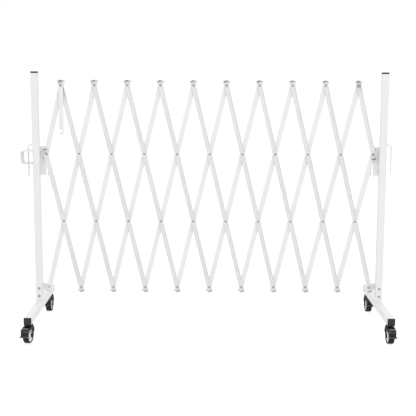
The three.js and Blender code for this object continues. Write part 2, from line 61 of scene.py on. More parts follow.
# Where the CAD stands: the middle of each post and the plane of the lattice
leftCap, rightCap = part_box("post_cap_left"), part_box("post_cap_right")
postX = {"left": (leftCap[0].x + leftCap[1].x) / 2, "right": (rightCap[0].x + rightCap[1].x) / 2}
planeY = (leftCap[0].y + leftCap[1].y) / 2
middleX = (postX["left"] + postX["right"]) / 2

camera = {
    "place": (-20.95, -3479.5, 1006.2),      # mm from the middle of the barrier, on the floor
    "focalPixels": 904.6,
    "framePixels": 416,
    "sensor": 36,
    "pitch": radians(8.7564),
    "yaw": radians(0.2454),
    "roll": radians(0.188),
}


def makeCamera(values):
    data = bpy.data.cameras.new("camera")
    data.sensor_width = values["sensor"]
    data.lens = values["focalPixels"] * values["sensor"] / values["framePixels"]
    data.clip_start, data.clip_end = 0.05, 60
    holder = bpy.data.objects.new("camera", data)
    bpy.context.scene.collection.objects.link(holder)
    x, y, z = (value * mm for value in values["place"])
    turn = Matrix.Rotation(-values["yaw"], 4, "Z") @ Matrix.Rotation(pi / 2 - values["pitch"], 4, "X")
    turn = turn @ Matrix.Rotation(values["roll"], 4, "Z")
    holder.matrix_world = Matrix.Translation((middleX + x, planeY + y, z)) @ turn
    bpy.context.scene.camera = holder


makeCamera(camera)
print("camera stands")


# Shader values that can be added and multiplied like numbers
class Shade:
    def __init__(self, finish, socket):
        self.finish, self.socket = finish, socket

    def maths(self, operation, first, second):
        return self.finish.node("ShaderNodeMath", {"operation": operation}, {0: first, 1: second})

    def __add__(self, other):
        return self.maths("ADD", self, other)

    __radd__ = __add__

    def __mul__(self, other):
        return self.maths("MULTIPLY", self, other)

    __rmul__ = __mul__

    def __sub__(self, other):
        return self.maths("SUBTRACT", self, other)

    def __rsub__(self, other):
        return self.maths("SUBTRACT", other, self)


class Finish:
    def __init__(self, name, holder=None):
        self.holder = holder or bpy.data.materials.new(name)
        self.holder.use_nodes = True
        self.tree = self.holder.node_tree

    def feed(self, socket, value):
        if isinstance(value, Shade):
            self.tree.links.new(value.socket, socket)
        else:
            socket.default_value = value

    def node(self, kind, settings=None, inputs=None, output=0):
        made = self.tree.nodes.new(kind)
        for name, value in (settings or {}).items():
            if name == "stops":
                for stop, (place, colour) in zip(made.color_ramp.elements, value):
                    stop.position, stop.color = place, colour
            else:
                setattr(made, name, value)
        for name, value in (inputs or {}).items():
            self.feed(made.inputs[name], value)
        return Shade(self, made.outputs[output])

    def noise(self, scale, detail=3, roughness=0.5, stretch=None):
        place = self.node("ShaderNodeTexCoord", output="Object")
        if stretch:
            place = self.node("ShaderNodeMapping", inputs={"Vector": place, "Scale": stretch})
        values = {"Vector": place, "Scale": scale, "Detail": detail, "Roughness": roughness}
        return self.node("ShaderNodeTexNoise", inputs=values)

    def spread(self, value, low, high):
        # the middle of a noise, pulled out to run from 0 to 1
        stops = ((low, (0, 0, 0, 1)), (high, (1, 1, 1, 1)))
        return self.node("ShaderNodeValToRGB", {"stops": stops}, {"Fac": value})

    def between(self, share, first, second):
        values = {"Factor": share}
        for socket, colour in ((6, first), (7, second)):
            values[socket] = colour if isinstance(colour, Shade) else (*colour, 1)
        return self.node("ShaderNodeMix", {"data_type": "RGBA"}, values, output=2)

    def bump(self, height, strength, distance):
        values = {"Height": height, "Strength": strength, "Distance": distance}
        return self.node("ShaderNodeBump", inputs=values)

    def surface(self, **values):
        shader = self.tree.nodes["Principled BSDF"]
        for name, value in values.items():
            self.feed(shader.inputs[socketNames[name]], value)
        return self.holder


socketNames = {
    "colour": "Base Color", "roughness": "Roughness", "metal": "Metallic", "normal": "Normal",
    "gloss": "Specular IOR Level",
}

noiseMiddle = (0.3, 0.7)       # most of a noise lies between these

# Each finish has two shades, mixed by soft clouds over a fine grain. A noise is (scale, detail, roughness),
# "roughness" is (least, added) and "bump" is (strength, distance).
finishes = {
    "powderCoat": {
        # satin coat with a fine orange peel and a faint uneven thickness
        "low": (0.83, 0.83, 0.826), "high": (0.865, 0.865, 0.861), "cloud": (7, 4),
        "grain": (520, 2, 0.6), "roughness": (0.36, 0.08), "bump": (0.25, 0.0002), "gloss": 0.45},
    "blackPlastic": {
        # moulded, with a spark-eroded grain that is a little shinier in patches
        "low": (0.012, 0.012, 0.013), "high": (0.024, 0.024, 0.025), "cloud": (60, 3),
        "grain": (1500, 2, 0.7), "roughness": (0.46, 0.12), "bump": (0.3, 0.00015), "gloss": 0.45},
    "slatPlastic": {
        "low": (0.045, 0.045, 0.046), "high": (0.075, 0.075, 0.076), "cloud": (150, 3),
        "grain": (1500, 2, 0.7), "roughness": (0.5, 0.15), "bump": (0.3, 0.00015), "gloss": 0.4,
        # a lighter grey for caps near the ground, fading out between these heights in metres
        "lowCapGrey": (0.36, 0.36, 0.355), "greyingHeights": (0.2, 0.45)},
    "pedalPlastic": {
        "low": (0.006, 0.006, 0.007), "high": (0.012, 0.012, 0.013), "cloud": (60, 3),
        "grain": (1300, 2, 0.7), "roughness": (0.42, 0.2), "bump": (0.3, 0.00015), "gloss": 0.3,
        # painted highlight: a lighter grey on upward faces, broken into patches
        "paintedHighlight": (0.2, 0.2, 0.2), "highlightPatches": (170, 4, 0.65), "highlightPatchRange": (0.25, 0.6),
        "flat": (0.45, 0.85)},
    "blackSteel": {
        # black dip coat over pressed plate, with the drawing lines of the press showing faintly
        "low": (0.006, 0.006, 0.0065), "high": (0.014, 0.014, 0.015), "cloud": (90, 4),
        "grain": (900, 3, 0.6), "drawn": (1, 0.12, 1), "roughness": (0.5, 0.14), "bump": (0.2, 0.00015),
        "gloss": 0.18},
    "fastener": {
        # zinc plate in three shades: turned metal, dull and slightly blotched
        "low": (0.35, 0.35, 0.352), "high": (0.47, 0.47, 0.47), "cloud": (240, 4),
        "grain": (1200, 3, 0.6), "roughness": (0.42, 0.16), "bump": (0.2, 0.0001), "metal": 0.75},
    "zinc": {
        # bright zinc plate on a rod, with drawing lines along it
        "low": (0.74, 0.745, 0.75), "high": (0.82, 0.825, 0.83), "cloud": (380, 3),
        "grain": (900, 3, 0.6), "drawn": (1, 1, 0.05), "roughness": (0.36, 0.14), "bump": (0.25, 0.0001),
        "metal": 0.5},
    "tyre": {
        # rubber tread, matt and a little dusty
        "low": (0.012, 0.012, 0.012), "high": (0.026, 0.026, 0.026), "cloud": (70, 4),
        "range": (0.35, 0.75), "grain": (1100, 3, 0.7), "roughness": (0.68, 0.14),
        "bump": (0.3, 0.0002), "gloss": 0.28},
    "core": {
        # light grey nylon
        "low": (0.86, 0.86, 0.86), "high": (0.92, 0.92, 0.92), "cloud": (110, 3),
        "grain": (900, 2, 0.6), "roughness": (0.44, 0.1), "bump": (0.2, 0.00015), "gloss": 0.45},
}
finishes["lightFastener"] = {**finishes["fastener"], "low": (0.34, 0.34, 0.345), "high": (0.44, 0.44, 0.44)}
finishes["paleFastener"] = {**finishes["fastener"], "low": (0.5, 0.5, 0.505), "high": (0.6, 0.6, 0.6)}


def cloudsAndGrain(finish, values):
    cloud = finish.spread(finish.noise(*values["cloud"]), *values.get("range", noiseMiddle))
    grain = finish.noise(*values["grain"], stretch=values.get("drawn"))
    return cloud, finish.bump(grain, *values["bump"])


def makePlain(name, values):
    finish = Finish(name)
    cloud, normal = cloudsAndGrain(finish, values)
    least, added = values["roughness"]
    others = {word: values[word] for word in ("metal", "gloss") if word in values}
    return finish.surface(
        colour=finish.between(cloud, values["low"], values["high"]),
        roughness=least + added * cloud,
        normal=normal,
        **others)


def makeSlatPlastic(values):
    # small moulded caps, lighter grey towards the ground
    finish = Finish("slat_plastic")
    cloud, normal = cloudsAndGrain(finish, values)
    place = finish.node("ShaderNodeTexCoord", output="Object")
    height = finish.node("ShaderNodeSeparateXYZ", inputs={0: place}, output="Z")
    # lighter grey towards the ground, by height
    lowShare = 1 - finish.spread(height, *values["greyingHeights"])
    black = finish.between(cloud, values["low"], values["high"])
    least, added = values["roughness"]
    return finish.surface(
        colour=finish.between(lowShare, black, values["lowCapGrey"]),
        roughness=least + added * cloud,
        normal=normal,
        gloss=values["gloss"])


def makePedalPlastic(values):
    # as the caps, with a painted highlight: upward faces of the treads made lighter grey in patches
    finish = Finish("pedal_plastic")
    cloud, normal = cloudsAndGrain(finish, values)
    highlightPatches = finish.spread(finish.noise(*values["highlightPatches"]), *values["highlightPatchRange"])
    facing = finish.node("ShaderNodeNewGeometry", output="Normal")
    upwards = finish.node("ShaderNodeSeparateXYZ", inputs={0: facing}, output="Z")
    # painted highlight: faces that look upwards turn lighter grey, in patches
    paintedHighlightShare = finish.spread(upwards, *values["flat"]) * highlightPatches
    black = finish.between(cloud, values["low"], values["high"])
    least, added = values["roughness"]
    return finish.surface(
        colour=finish.between(paintedHighlightShare, black, values["paintedHighlight"]),
        roughness=least + added * paintedHighlightShare,
        normal=normal,
        gloss=values["gloss"])


powderCoat = makePlain("powder_coat", finishes["powderCoat"])
blackPlastic = makePlain("black_plastic", finishes["blackPlastic"])
slatPlastic = makeSlatPlastic(finishes["slatPlastic"])
pedalPlastic = makePedalPlastic(finishes["pedalPlastic"])
blackSteel = makePlain("black_steel", finishes["blackSteel"])
fastener = makePlain("dark_fastener", finishes["fastener"])
lightFastener = makePlain("light_fastener", finishes["lightFastener"])
paleFastener = makePlain("pale_fastener", finishes["paleFastener"])
zinc = makePlain("bright_zinc", finishes["zinc"])
tyreRubber = makePlain("tyre_rubber", finishes["tyre"])
wheelCore = makePlain("wheel_core", finishes["core"])
print("finishes mixed")


# Modelling. Shapes are drawn in millimetres round the origin, and put() copies them into place.
selectModes = {"faces": "FACE", "edges": "EDGE"}
smoothAngle, bevelAngle = radians(38), radians(40)
hair = 0.004         # mm
straight = 0.9       # from this share on, a direction counts as along an axis
near = 0.05          # mm, within which a middle counts as lying on a face


def clear():
    bpy.ops.object.select_all(action="DESELECT")


def hold(piece):
    clear()
    piece.select_set(True)
    bpy.context.view_layer.objects.active = piece


def enter(piece):
    hold(piece)
    bpy.ops.object.mode_set(mode="EDIT")


def leave():
    bpy.ops.object.mode_set(mode="OBJECT")


def pick(kind, test):
    # selects the faces or edges whose middle and direction pass the test
    bpy.ops.mesh.select_mode(type=selectModes[kind])
    bpy.ops.mesh.select_all(action="DESELECT")
    mesh = bmesh.from_edit_mesh(bpy.context.object.data)
    for item in getattr(mesh, kind):
        if kind == "faces":
            middle, way = item.calc_center_median(), item.normal
        else:
            ends = [corner.co for corner in item.verts]
            middle, way = (ends[0] + ends[1]) / 2, (ends[1] - ends[0]).normalized()
        if test(middle, way):
            item.select_set(True)
    mesh.select_flush_mode()
    bmesh.update_edit_mesh(bpy.context.object.data)


def outwards():
    bpy.ops.mesh.select_all(action="SELECT")
    bpy.ops.mesh.normals_make_consistent(inside=False)


def block(low, high):
    clear()
    middle = [(a + b) / 2 for a, b in zip(low, high)]
    size = [b - a for a, b in zip(low, high)]
    bpy.ops.mesh.primitive_cube_add(size=1, location=middle, scale=size)
    bpy.ops.object.transform_apply(location=True, rotation=True, scale=True)
    return bpy.context.object


def turned(steps, corners):
    # a solid of revolution on Z; steps are (height, radius) from one end to the other
    clear()
    height, radius = steps[0]
    bpy.ops.mesh.primitive_circle_add(
        vertices=corners, radius=radius, fill_type="NGON", location=(0, 0, height))
    bpy.ops.object.transform_apply(location=True, rotation=True, scale=True)
    piece = bpy.context.object
    enter(piece)
    bpy.ops.mesh.select_all(action="SELECT")
    for (lastHeight, lastRadius), (height, radius) in zip(steps, steps[1:]):
        bpy.ops.mesh.extrude_region_move(TRANSFORM_OT_translate={"value": (0, 0, height - lastHeight)})
        share = radius / lastRadius
        bpy.ops.transform.resize(value=(share, share, 1), center_override=(0, 0, height))
    outwards()
    leave()
    return piece


def ringOf(outline, fill):
    # a circle whose corners are pulled onto the outline
    clear()
    bpy.ops.mesh.primitive_circle_add(vertices=len(outline), radius=1, fill_type=fill)
    piece = bpy.context.object
    for corner, place in zip(piece.data.vertices, outline):
        corner.co = place
    return piece


def traced(outline, low, high):
    # a flat outline in X and Y, extruded along Z
    piece = ringOf([(x, y, low) for x, y in outline], "NGON")
    enter(piece)
    bpy.ops.mesh.select_all(action="SELECT")
    bpy.ops.mesh.extrude_region_move(TRANSFORM_OT_translate={"value": (0, 0, high - low)})
    outwards()
    leave()
    return piece


def spun(outline, steps):
    # a closed outline of (radius, height), spun once round Z
    piece = ringOf([(radius, 0, height) for radius, height in outline], "NOTHING")
    enter(piece)
    bpy.ops.mesh.select_all(action="SELECT")
    bpy.ops.mesh.spin(steps=steps, angle=2 * pi, center=(0, 0, 0), axis=(0, 0, 1))
    bpy.ops.mesh.select_all(action="SELECT")
    bpy.ops.mesh.remove_doubles(threshold=0.001)
    outwards()
    leave()
    return piece


def finishWith(piece, kind, **settings):
    hold(piece)
    modifier = piece.modifiers.new(kind.lower(), kind)
    for name, value in settings.items():
        setattr(modifier, name, value)
    bpy.ops.object.modifier_apply(modifier=modifier.name)
    return piece


def tidyUp(piece):
    # merges what a bevel or a cut left closer than a hair
    enter(piece)
    bpy.ops.mesh.select_all(action="SELECT")
    bpy.ops.mesh.remove_doubles(threshold=hair)
    bpy.ops.mesh.dissolve_degenerate(threshold=hair)
    leave()
    return piece


def soften(piece, width, segments=2):
    finishWith(
        piece, "BEVEL", width=width, segments=segments, limit_method="ANGLE", angle_limit=bevelAngle)
    return tidyUp(piece)


def combine(piece, tool, operation):
    finishWith(piece, "BOOLEAN", operation=operation, object=tool, solver="EXACT")
    bpy.data.objects.remove(tool)
    return tidyUp(piece)


def drill(piece, axis, radius, place, length, corners=20):
    # a hole through place, along X, Y or Z
    clear()
    turns = {"x": (0, pi / 2, 0), "y": (pi / 2, 0, 0), "z": (0, 0, 0)}
    bpy.ops.mesh.primitive_cylinder_add(
        vertices=corners, radius=radius, depth=length, location=place, rotation=turns[axis])
    return combine(piece, bpy.context.object, "DIFFERENCE")


def arc(x, y, radius, first, last, steps):
    turn = (last - first) / steps
    return [
        (x + radius * cos(radians(first + k * turn)), y + radius * sin(radians(first + k * turn)))
        for k in range(steps + 1)]


def moved(x=0, y=0, z=0):
    return Matrix.Translation((x, y, z))


def turnedBy(angle, axis):
    return Matrix.Rotation(angle, 4, axis)


# what stood up along Z points to the front, to the rear or along X
towardsFront, towardsRear, alongX = turnedBy(pi / 2, "X"), turnedBy(-pi / 2, "X"), turnedBy(pi / 2, "Y")


def joined(parts):
    # copies of the drawn shapes, each moved by its matrix, as one new shape
    copies = []
    for shape, matrix in parts:
        copy = shape.copy()
        copy.data = shape.data.copy()
        bpy.context.scene.collection.objects.link(copy)
        copy.data.transform(matrix)
        if matrix.determinant() < 0:
            enter(copy)
            outwards()
            leave()
        copies.append(copy)
    clear()
    for copy in copies:
        copy.select_set(True)
    bpy.context.view_layer.objects.active = copies[0]
    if len(copies) > 1:
        bpy.ops.object.join()
    return bpy.context.view_layer.objects.active


given = set(bpy.data.objects)       # the CAD nodes and the camera
finished = set()


def put(name, parts, finish, body, *nodes):
    # one finished piece from drawn shapes, in metres, riding on its body in place of its nodes
    if not isinstance(parts, list):
        parts = [(parts, moved())]
    piece = joined(parts)
    piece.data.transform(Matrix.Scale(mm, 4))
    piece.name = piece.data.name = name
    piece.data.materials.clear()
    piece.data.materials.append(finish)
    hold(piece)
    bpy.ops.object.shade_smooth_by_angle(angle=smoothAngle)
    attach(piece, body)
    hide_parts(*nodes)
    finished.add(piece)


def at(side, y=0, z=0, x=0):
    # a place in millimetres from the foot of a post
    return moved(postX[side] / mm + x, planeY / mm + y, z)


inwards = {"left": 1, "right": -1}


def mirrorFor(side):
    # shapes are drawn for the left post, with the lattice on their right
    return Matrix.Scale(inwards[side], 4, (1, 0, 0))


lattice = {
    "linkLength": 270, "lean": radians(13.5), "closedLean": radians(2.05), "columns": 20, "levels": 3,
    "pivotFromPost": 38, "lowPivot": 155,
}
columnWidth = lattice["linkLength"] * sin(lattice["lean"])
levelHeight = lattice["linkLength"] * cos(lattice["lean"])
upperPivot = lattice["lowPivot"] + 2 * levelHeight

slat = {
    "width": 18, "depth": 9, "wall": 1.5, "bend": 2.2, "end": 17, "clearance": 0.15,
    "hole": 3.3, "holeField": 9, "edge": 0.35, "capPlate": 1.5, "capPlug": 0.3, "capWall": 1.75,
    "capEdge": 0.7, "capGap": 0.02,
}


def drawChannel(side, pitches):
    # upright, its lowest hole at the origin; side is -1 for the front layer, which is open to the front
    half = slat["width"] / 2
    back, lip = side * slat["clearance"], side * (slat["clearance"] + slat["depth"])
    top = pitches * lattice["linkLength"] + slat["end"]
    piece = block((-half, min(back, lip), -slat["end"]), (half, max(back, lip), top))
    enter(piece)
    pick("faces", lambda middle, way: abs(way.z) > straight or way.y * side > straight)
    bpy.ops.mesh.delete(type="FACE")
    pick("edges", lambda middle, way: abs(way.z) > straight and abs(middle.y - back) < near)
    bpy.ops.mesh.bevel(offset=slat["bend"], segments=4, affect="EDGES")
    leave()
    finishWith(piece, "SOLIDIFY", thickness=slat["wall"], offset=-1)
    soften(piece, slat["edge"], 1)
    holes = [hole * lattice["linkLength"] for hole in range(pitches + 1)]
    enter(piece)
    for height in holes:
        for reach in (-slat["holeField"], slat["holeField"]):
            bpy.ops.mesh.select_all(action="SELECT")
            bpy.ops.mesh.bisect(plane_co=(0, 0, height + reach), plane_no=(0, 0, 1))
    leave()
    for height in holes:
        drill(piece, "y", slat["hole"], (0, side * slat["wall"] * 0.8, height), 4, 16)
    return piece


def drawSlatCap(side):
    # stands on the end of a channel: a plate with a low plug that goes down into it
    half = slat["width"] / 2
    back, lip = side * slat["clearance"], side * (slat["clearance"] + slat["depth"])
    piece = block((-half, min(back, lip), slat["capGap"]), (half, max(back, lip), slat["capPlate"]))
    enter(piece)
    pick("faces", lambda middle, way: way.z < -straight)
    bpy.ops.mesh.inset(thickness=slat["capWall"])
    bpy.ops.mesh.extrude_region_move(TRANSFORM_OT_translate={"value": (0, 0, -slat["capPlug"])})
    pick("edges", lambda middle, way: middle.z > slat["capPlate"] - near)
    bpy.ops.mesh.bevel(offset=slat["capEdge"], segments=2, affect="EDGES")
    leave()
    return piece


rivet = {
    # (distance in front of the lattice plane, radius)
    "steps": (
        (-3.45, 2.4), (-3.3, 3.2), (-2.8, 3.8), (-1.66, 4.0), (-1.66, 3.0), (1.95, 3.0), (1.95, 3.7),
        (2.4, 3.7), (3.1, 3.3), (3.6, 2.3), (3.65, 1.6), (3.2, 1.3)),
    "stud": (
        (-3.45, 2.4), (-3.3, 3.2), (-2.8, 3.8), (-1.66, 4.0), (-1.66, 3.0), (1.95, 3.0), (1.95, 5.0),
        (9.1, 5.0), (9.3, 3.0), (12.9, 3.0), (12.9, 5.2), (14.6, 5.2), (15.5, 4.2), (15.8, 2.4)),
    "corners": 14,
}


def slatMatrix(foot, level, lean):
    x = foot * columnWidth - lattice["columns"] * columnWidth / 2
    place = moved(middleX / mm + x, planeY / mm, lattice["lowPivot"] + level * levelHeight)
    return place @ turnedBy(lean * lattice["lean"], "Y")


channels = {
    (side, pitches): drawChannel(side, pitches) for side in (-1, 1) for pitches in (1, 2, 3)}
slatCaps = {side: drawSlatCap(side) for side in (-1, 1)}
rivetShape = turned(rivet["steps"], rivet["corners"])
studShape = turned(rivet["stud"], rivet["corners"])


def putSlat(word, index, foot, level, pitches, lean):
    node = f"slat_{word}_{index}"
    side = lean
    matrix = slatMatrix(foot, level, lean)
    end = pitches * lattice["linkLength"] + slat["end"]
    put(f"{node}_channel", [(channels[side, pitches], matrix)], powderCoat, node, node)
    turnOver = moved(z=-slat["end"]) @ turnedBy(pi, "Y")
    caps = [(slatCaps[side], matrix @ moved(z=end)), (slatCaps[side], matrix @ turnOver)]
    put(f"{node}_end_caps", caps, slatPlastic, node, node)
    if word == "rising":
        putRivets(node, foot, level, pitches, matrix)


def putRivets(node, foot, level, pitches, matrix):
    parts = []
    for hole in range(pitches + 1):
        column, row = foot + hole, level + hole
        if column in (0, lattice["columns"]) and row != 1:
            continue
        last = row == lattice["levels"] and column in (1, lattice["columns"] - 1)
        place = matrix @ moved(z=hole * lattice["linkLength"]) @ towardsFront
        parts.append((studShape if last else rivetShape, place))
    put(f"{node}_rivets", parts, lightFastener, node, node)


def putLattice():
    columns, levels = lattice["columns"], lattice["levels"]
    for k in range(columns // 2 + 1):
        foot = 2 * k - 2
        level, start = (2 if foot < 0 else 0), max(foot, 0)
        putSlat("rising", k + 1, start, level, min(levels - level, columns - start), 1)
        foot = 2 * k + 2
        level, start = (2 if foot > columns else 0), min(foot, columns)
        putSlat("falling", k + 1, start, level, min(levels - level, start), -1)


putLattice()
print("lattice riveted")

strap = {
    "width": 16.5, "thick": 3, "tail": 16, "lead": 9, "tailCut": 4.5, "mouth": 8, "hole": 3.3,
    "reach": (lattice["columns"] - 2) * lattice["linkLength"] * sin(lattice["closedLean"]),
    "front": 9.6, "edge": 0.6,
}


def putStrap(values):
    half, reach, mouth = values["width"] / 2, values["reach"], values["mouth"] / 2
    tail, cut = -reach - values["tail"], values["tailCut"]
    outline = arc(0, 0, half, 0, 180, 14)
    outline += [(-half, -reach + mouth), (0, -reach + mouth)]
    outline += arc(0, -reach, mouth, 90, -90, 8)[1:]
    outline += [(-half, -reach - mouth), (-half, -reach - values["lead"])]
    outline += [(-half + values["lead"], tail), (half - cut, tail), (half, tail + cut)]
    plate = traced(outline, values["front"], values["front"] + values["thick"])
    soften(plate, values["edge"])
    drill(plate, "z", values["hole"], (0, 0, values["front"]), 12)
    stud = slatMatrix(1, lattice["levels"], 0)
    put("storage_strap_bar", [(plate, stud @ towardsFront)], powderCoat,
        "storage_strap", "storage_strap")


putStrap(strap)

post = {
    "side": 26, "wall": 1.5, "foot": 100.3, "top": 988, "corner": 2.6, "boltHeights": (120, 151),
    "capFlange": 6, "capPlug": 14, "boltHead": 4.7, "headHeight": 3.4, "nutHeight": 4.6, "boltFlange": 4.9,
    "shank": ((-19, 1.9), (-18.6, 2.5), (16, 2.5)),
}
postHalf = post["side"] / 2


def drawSquareTube(side, wall, corner, length):
    # a square tube along Z from 0, drawn round the axis
    piece = block((-side / 2, -side / 2, 0), (side / 2, side / 2, length))
    enter(piece)
    pick("faces", lambda middle, way: abs(way.z) > straight)
    bpy.ops.mesh.delete(type="FACE")
    pick("edges", lambda middle, way: abs(way.z) > straight)
    bpy.ops.mesh.bevel(offset=corner, segments=5, affect="EDGES")
    leave()
    finishWith(piece, "SOLIDIFY", thickness=wall, offset=-1)
    return soften(piece, 0.3, 1)


def drawHexHead(radius, height, flange):
    # a hexagon head that stands up from its flange
    head = turned(((0, radius), (height * 0.8, radius), (height, radius * 0.86)), 6)
    washer = turned(((-0.05, flange - 0.3), (0.2, flange), (0.9, flange), (1.2, flange - 0.4)), 24)
    return joined([(head, moved()), (washer, moved())])


def drawSquareCap(side, corner, flange, plug, wall):
    # a flange on the end of a tube at z = 0 with rounded edges, and a plug below it
    half, gap = side / 2, 0.3
    piece = block((-half, -half, gap), (half, half, flange))
    enter(piece)
    pick("edges", lambda middle, way: abs(way.z) > straight)
    bpy.ops.mesh.bevel(offset=corner, segments=5, affect="EDGES")
    pick("faces", lambda middle, way: way.z < -straight)
    bpy.ops.mesh.inset(thickness=wall + gap)
    bpy.ops.mesh.extrude_region_move(TRANSFORM_OT_translate={"value": (0, 0, -plug)})
    leave()
    return soften(piece, 0.8, 3)


def putPosts():
    tube = drawSquareTube(post["side"], post["wall"], post["corner"], post["top"] - post["foot"])
    cap = drawSquareCap(post["side"], post["corner"], post["capFlange"], post["capPlug"], post["wall"])
    head = drawHexHead(post["boltHead"], post["headHeight"], post["boltFlange"])
    nut = drawHexHead(post["boltHead"], post["nutHeight"], post["boltFlange"])
    shank = turned(post["shank"], 16)
    for side in postX:
        body, node = f"{side}_frame", f"post_{side}"
        put(f"{node}_tube", [(tube, at(side, z=post["foot"]))], powderCoat, body, node)
        put(f"{node}_cap", [(cap, at(side, z=post["top"]))], blackPlastic, body, f"post_cap_{side}")
        bolts = []
        for height in post["boltHeights"]:
            bolts.append((head, at(side, -postHalf, height) @ towardsFront))
            bolts.append((nut, at(side, postHalf, height) @ towardsRear))
            bolts.append((shank, at(side, 0, height) @ towardsFront))
        put(f"{node}_cross_bolts", bolts, fastener, body, node)


putPosts()
print("posts stand")

footBar = {
    "side": 28, "wall": 1.5, "length": 512, "bottom": 72, "corner": 2.6, "lip": 5, "plug": 20,
    "spigot": 22.4, "spigotCorner": 1.2, "spigotHeight": 70, "swivel": 226, "stemHole": 4.3,
}


def putFeet(values):
    half = values["length"] / 2
    bar = drawSquareTube(values["side"], values["wall"], values["corner"], values["length"])
    bar = joined([(bar, moved(0, half, values["bottom"] + values["side"] / 2) @ towardsFront)])
    for end in (-1, 1):
        drill(bar, "z", values["stemHole"], (0, end * values["swivel"], values["bottom"]), 6)
    wall, corner = values["wall"], values["spigotCorner"]
    spigot = drawSquareTube(values["spigot"], wall, corner, values["spigotHeight"] + 1)
    cap = drawSquareCap(values["side"], values["corner"], values["lip"], values["plug"], wall)
    top = values["bottom"] + values["side"]
    for side in postX:
        body = f"{side}_frame"
        parts = [(bar, at(side)), (spigot, at(side, z=top - 1))]
        put(f"foot_bar_{side}_tube", parts, powderCoat, body, f"foot_bar_{side}")
        for end, y, turn in (("front", -half, towardsFront), ("rear", half, towardsRear)):
            place = at(side, y, values["bottom"] + values["side"] / 2) @ turn
            put(f"foot_cap_{side}_{end}_plug", [(cap, place)], blackPlastic, body, f"foot_cap_{side}_{end}")


putFeet(footBar)
print("feet lie")

bracket = {
    "plate": 2.5, "face": 13.3, "front": -11, "back": 9.6, "reach": 46, "bend": 3.4, "pivot": 38,
    "slot": 2.8, "slotEnd": 10.5, "guideTop": 28.5, "guideBottom": 83.5, "lowerHalf": 13, "corner": 4,
    "legCorner": 2.5,
}


def drawAngle(values, low, high):
    # one leg on the post's inner face, the other behind the slats; bent from plate
    face, plate, back, bend = values["face"], values["plate"], values["back"], values["bend"]
    inner = bend - plate
    outline = [(face, values["front"]), (face + plate, values["front"])]
    outline += arc(face + bend, back - inner, inner, 180, 90, 4)
    outline += [(values["reach"], back), (values["reach"], back + plate)]
    outline += arc(face + bend, back + plate - bend, bend, 90, 180, 6)
    piece = traced(outline, low, high)
    enter(piece)
    pick("edges", lambda middle, way: abs(way.y) > straight and middle.x > values["reach"] - near)
    bpy.ops.mesh.bevel(offset=values["corner"], segments=5, affect="EDGES")
    pick("edges", lambda middle, way: abs(way.x) > straight and middle.y < values["front"] + near)
    bpy.ops.mesh.bevel(offset=values["legCorner"], segments=4, affect="EDGES")
    leave()
    return soften(piece, 0.35, 1)


def drawGuideBracket(values):
    piece = drawAngle(values, -values["guideBottom"], values["guideTop"])
    end = values["guideTop"] - values["slotEnd"]
    low, high = values["pivot"] - values["slot"], values["pivot"] + values["slot"]
    slot = block((low, 0, -values["guideBottom"] - 5), (high, 30, end))
    combine(piece, slot, "DIFFERENCE")
    return drill(piece, "y", values["slot"], (values["pivot"], values["back"], end), 12)


def drawLowerBracket(values):
    piece = drawAngle(values, -values["lowerHalf"], values["lowerHalf"])
    return drill(piece, "y", values["slot"], (values["pivot"], values["back"], 0), 12)


bolt = {
    "head": 4.8, "headHeight": 3.6, "shaft": 3, "neck": 2.5, "spacer": 5, "spacerEnd": 9.3,
    "bracketBack": 12.4, "washer": 8, "washerThick": 1.5, "nut": 5, "corners": 20,
    "chamfer": 0.3, "seat": 1.95,
}


def drawPivotBolt(values, headY, spacerY):
    # distances run from front to back, so the bolt is drawn upside down and then laid over
    shaft, neck, spacer, washer = (values[word] for word in ("shaft", "neck", "spacer", "washer"))
    spacerEnd, back, chamfer = values["spacerEnd"], values["bracketBack"], values["chamfer"]
    washerEnd = back + values["washerThick"]
    end = washerEnd + values["nut"]
    steps = [
        (headY - 1, shaft), (spacerY, shaft), (spacerY, spacer - chamfer), (spacerY + chamfer, spacer),
        (spacerEnd - chamfer, spacer), (spacerEnd, spacer - chamfer), (spacerEnd, neck),
        (back, neck), (back, washer - chamfer), (back + chamfer, washer),
        (washerEnd - chamfer, washer), (washerEnd, washer - chamfer), (washerEnd, neck),
        (end + 0.6, neck), (end + 1, neck - 0.5)]
    rod = turned(steps, values["corners"])
    head = drawHexHead(values["head"], values["headHeight"], values["head"] + 0.4)
    nut = drawHexHead(values["head"], values["nut"], values["head"] + 0.2)
    flipped = turnedBy(pi, "X")
    parts = [(rod, moved()), (head, moved(z=headY) @ flipped), (nut, moved(z=washerEnd - 0.1))]
    return joined(parts)


def putBrackets():
    guide, lower = drawGuideBracket(bracket), drawLowerBracket(bracket)
    # head and spacer sit on a slat, or close to the lattice plane in a layer that has no slat there
    onSlat, bare = bolt["seat"], slat["clearance"]
    through = drawPivotBolt(bolt, -onSlat, onSlat)
    single = {"left": drawPivotBolt(bolt, -bare, onSlat), "right": drawPivotBolt(bolt, -onSlat, bare)}
    riders = {"left": "slat_rising_1", "right": "slat_rising_11"}
    for side in postX:
        body, facing = f"{side}_frame", mirrorFor(side)
        place = at(side, z=upperPivot) @ facing
        put(f"guide_bracket_{side}_plate", [(guide, place)], powderCoat, body, f"guide_bracket_{side}")
        place = at(side, z=lattice["lowPivot"]) @ facing
        put(f"lower_bracket_{side}_plate", [(lower, place)], powderCoat, body, f"lower_bracket_{side}")
        x = inwards[side] * lattice["pivotFromPost"]
        place = at(side, z=upperPivot, x=x) @ towardsRear
        put(f"guide_bolt_{side}_set", [(through, place)], fastener, riders[side], f"guide_bolt_{side}")
        place = at(side, z=lattice["lowPivot"], x=x) @ towardsRear
        put(f"lower_bolt_{side}_set", [(single[side], place)], paleFastener, body, f"lower_bolt_{side}")


putBrackets()
print("brackets and bolts set")

loop = {
    "reach": 43, "width": 60, "plate": 3.5, "bend": 13, "topBend": 6.5, "top": 14, "bottom": -39,
    "pin": 17.3, "hole": 3.3, "edge": 0.6,
}


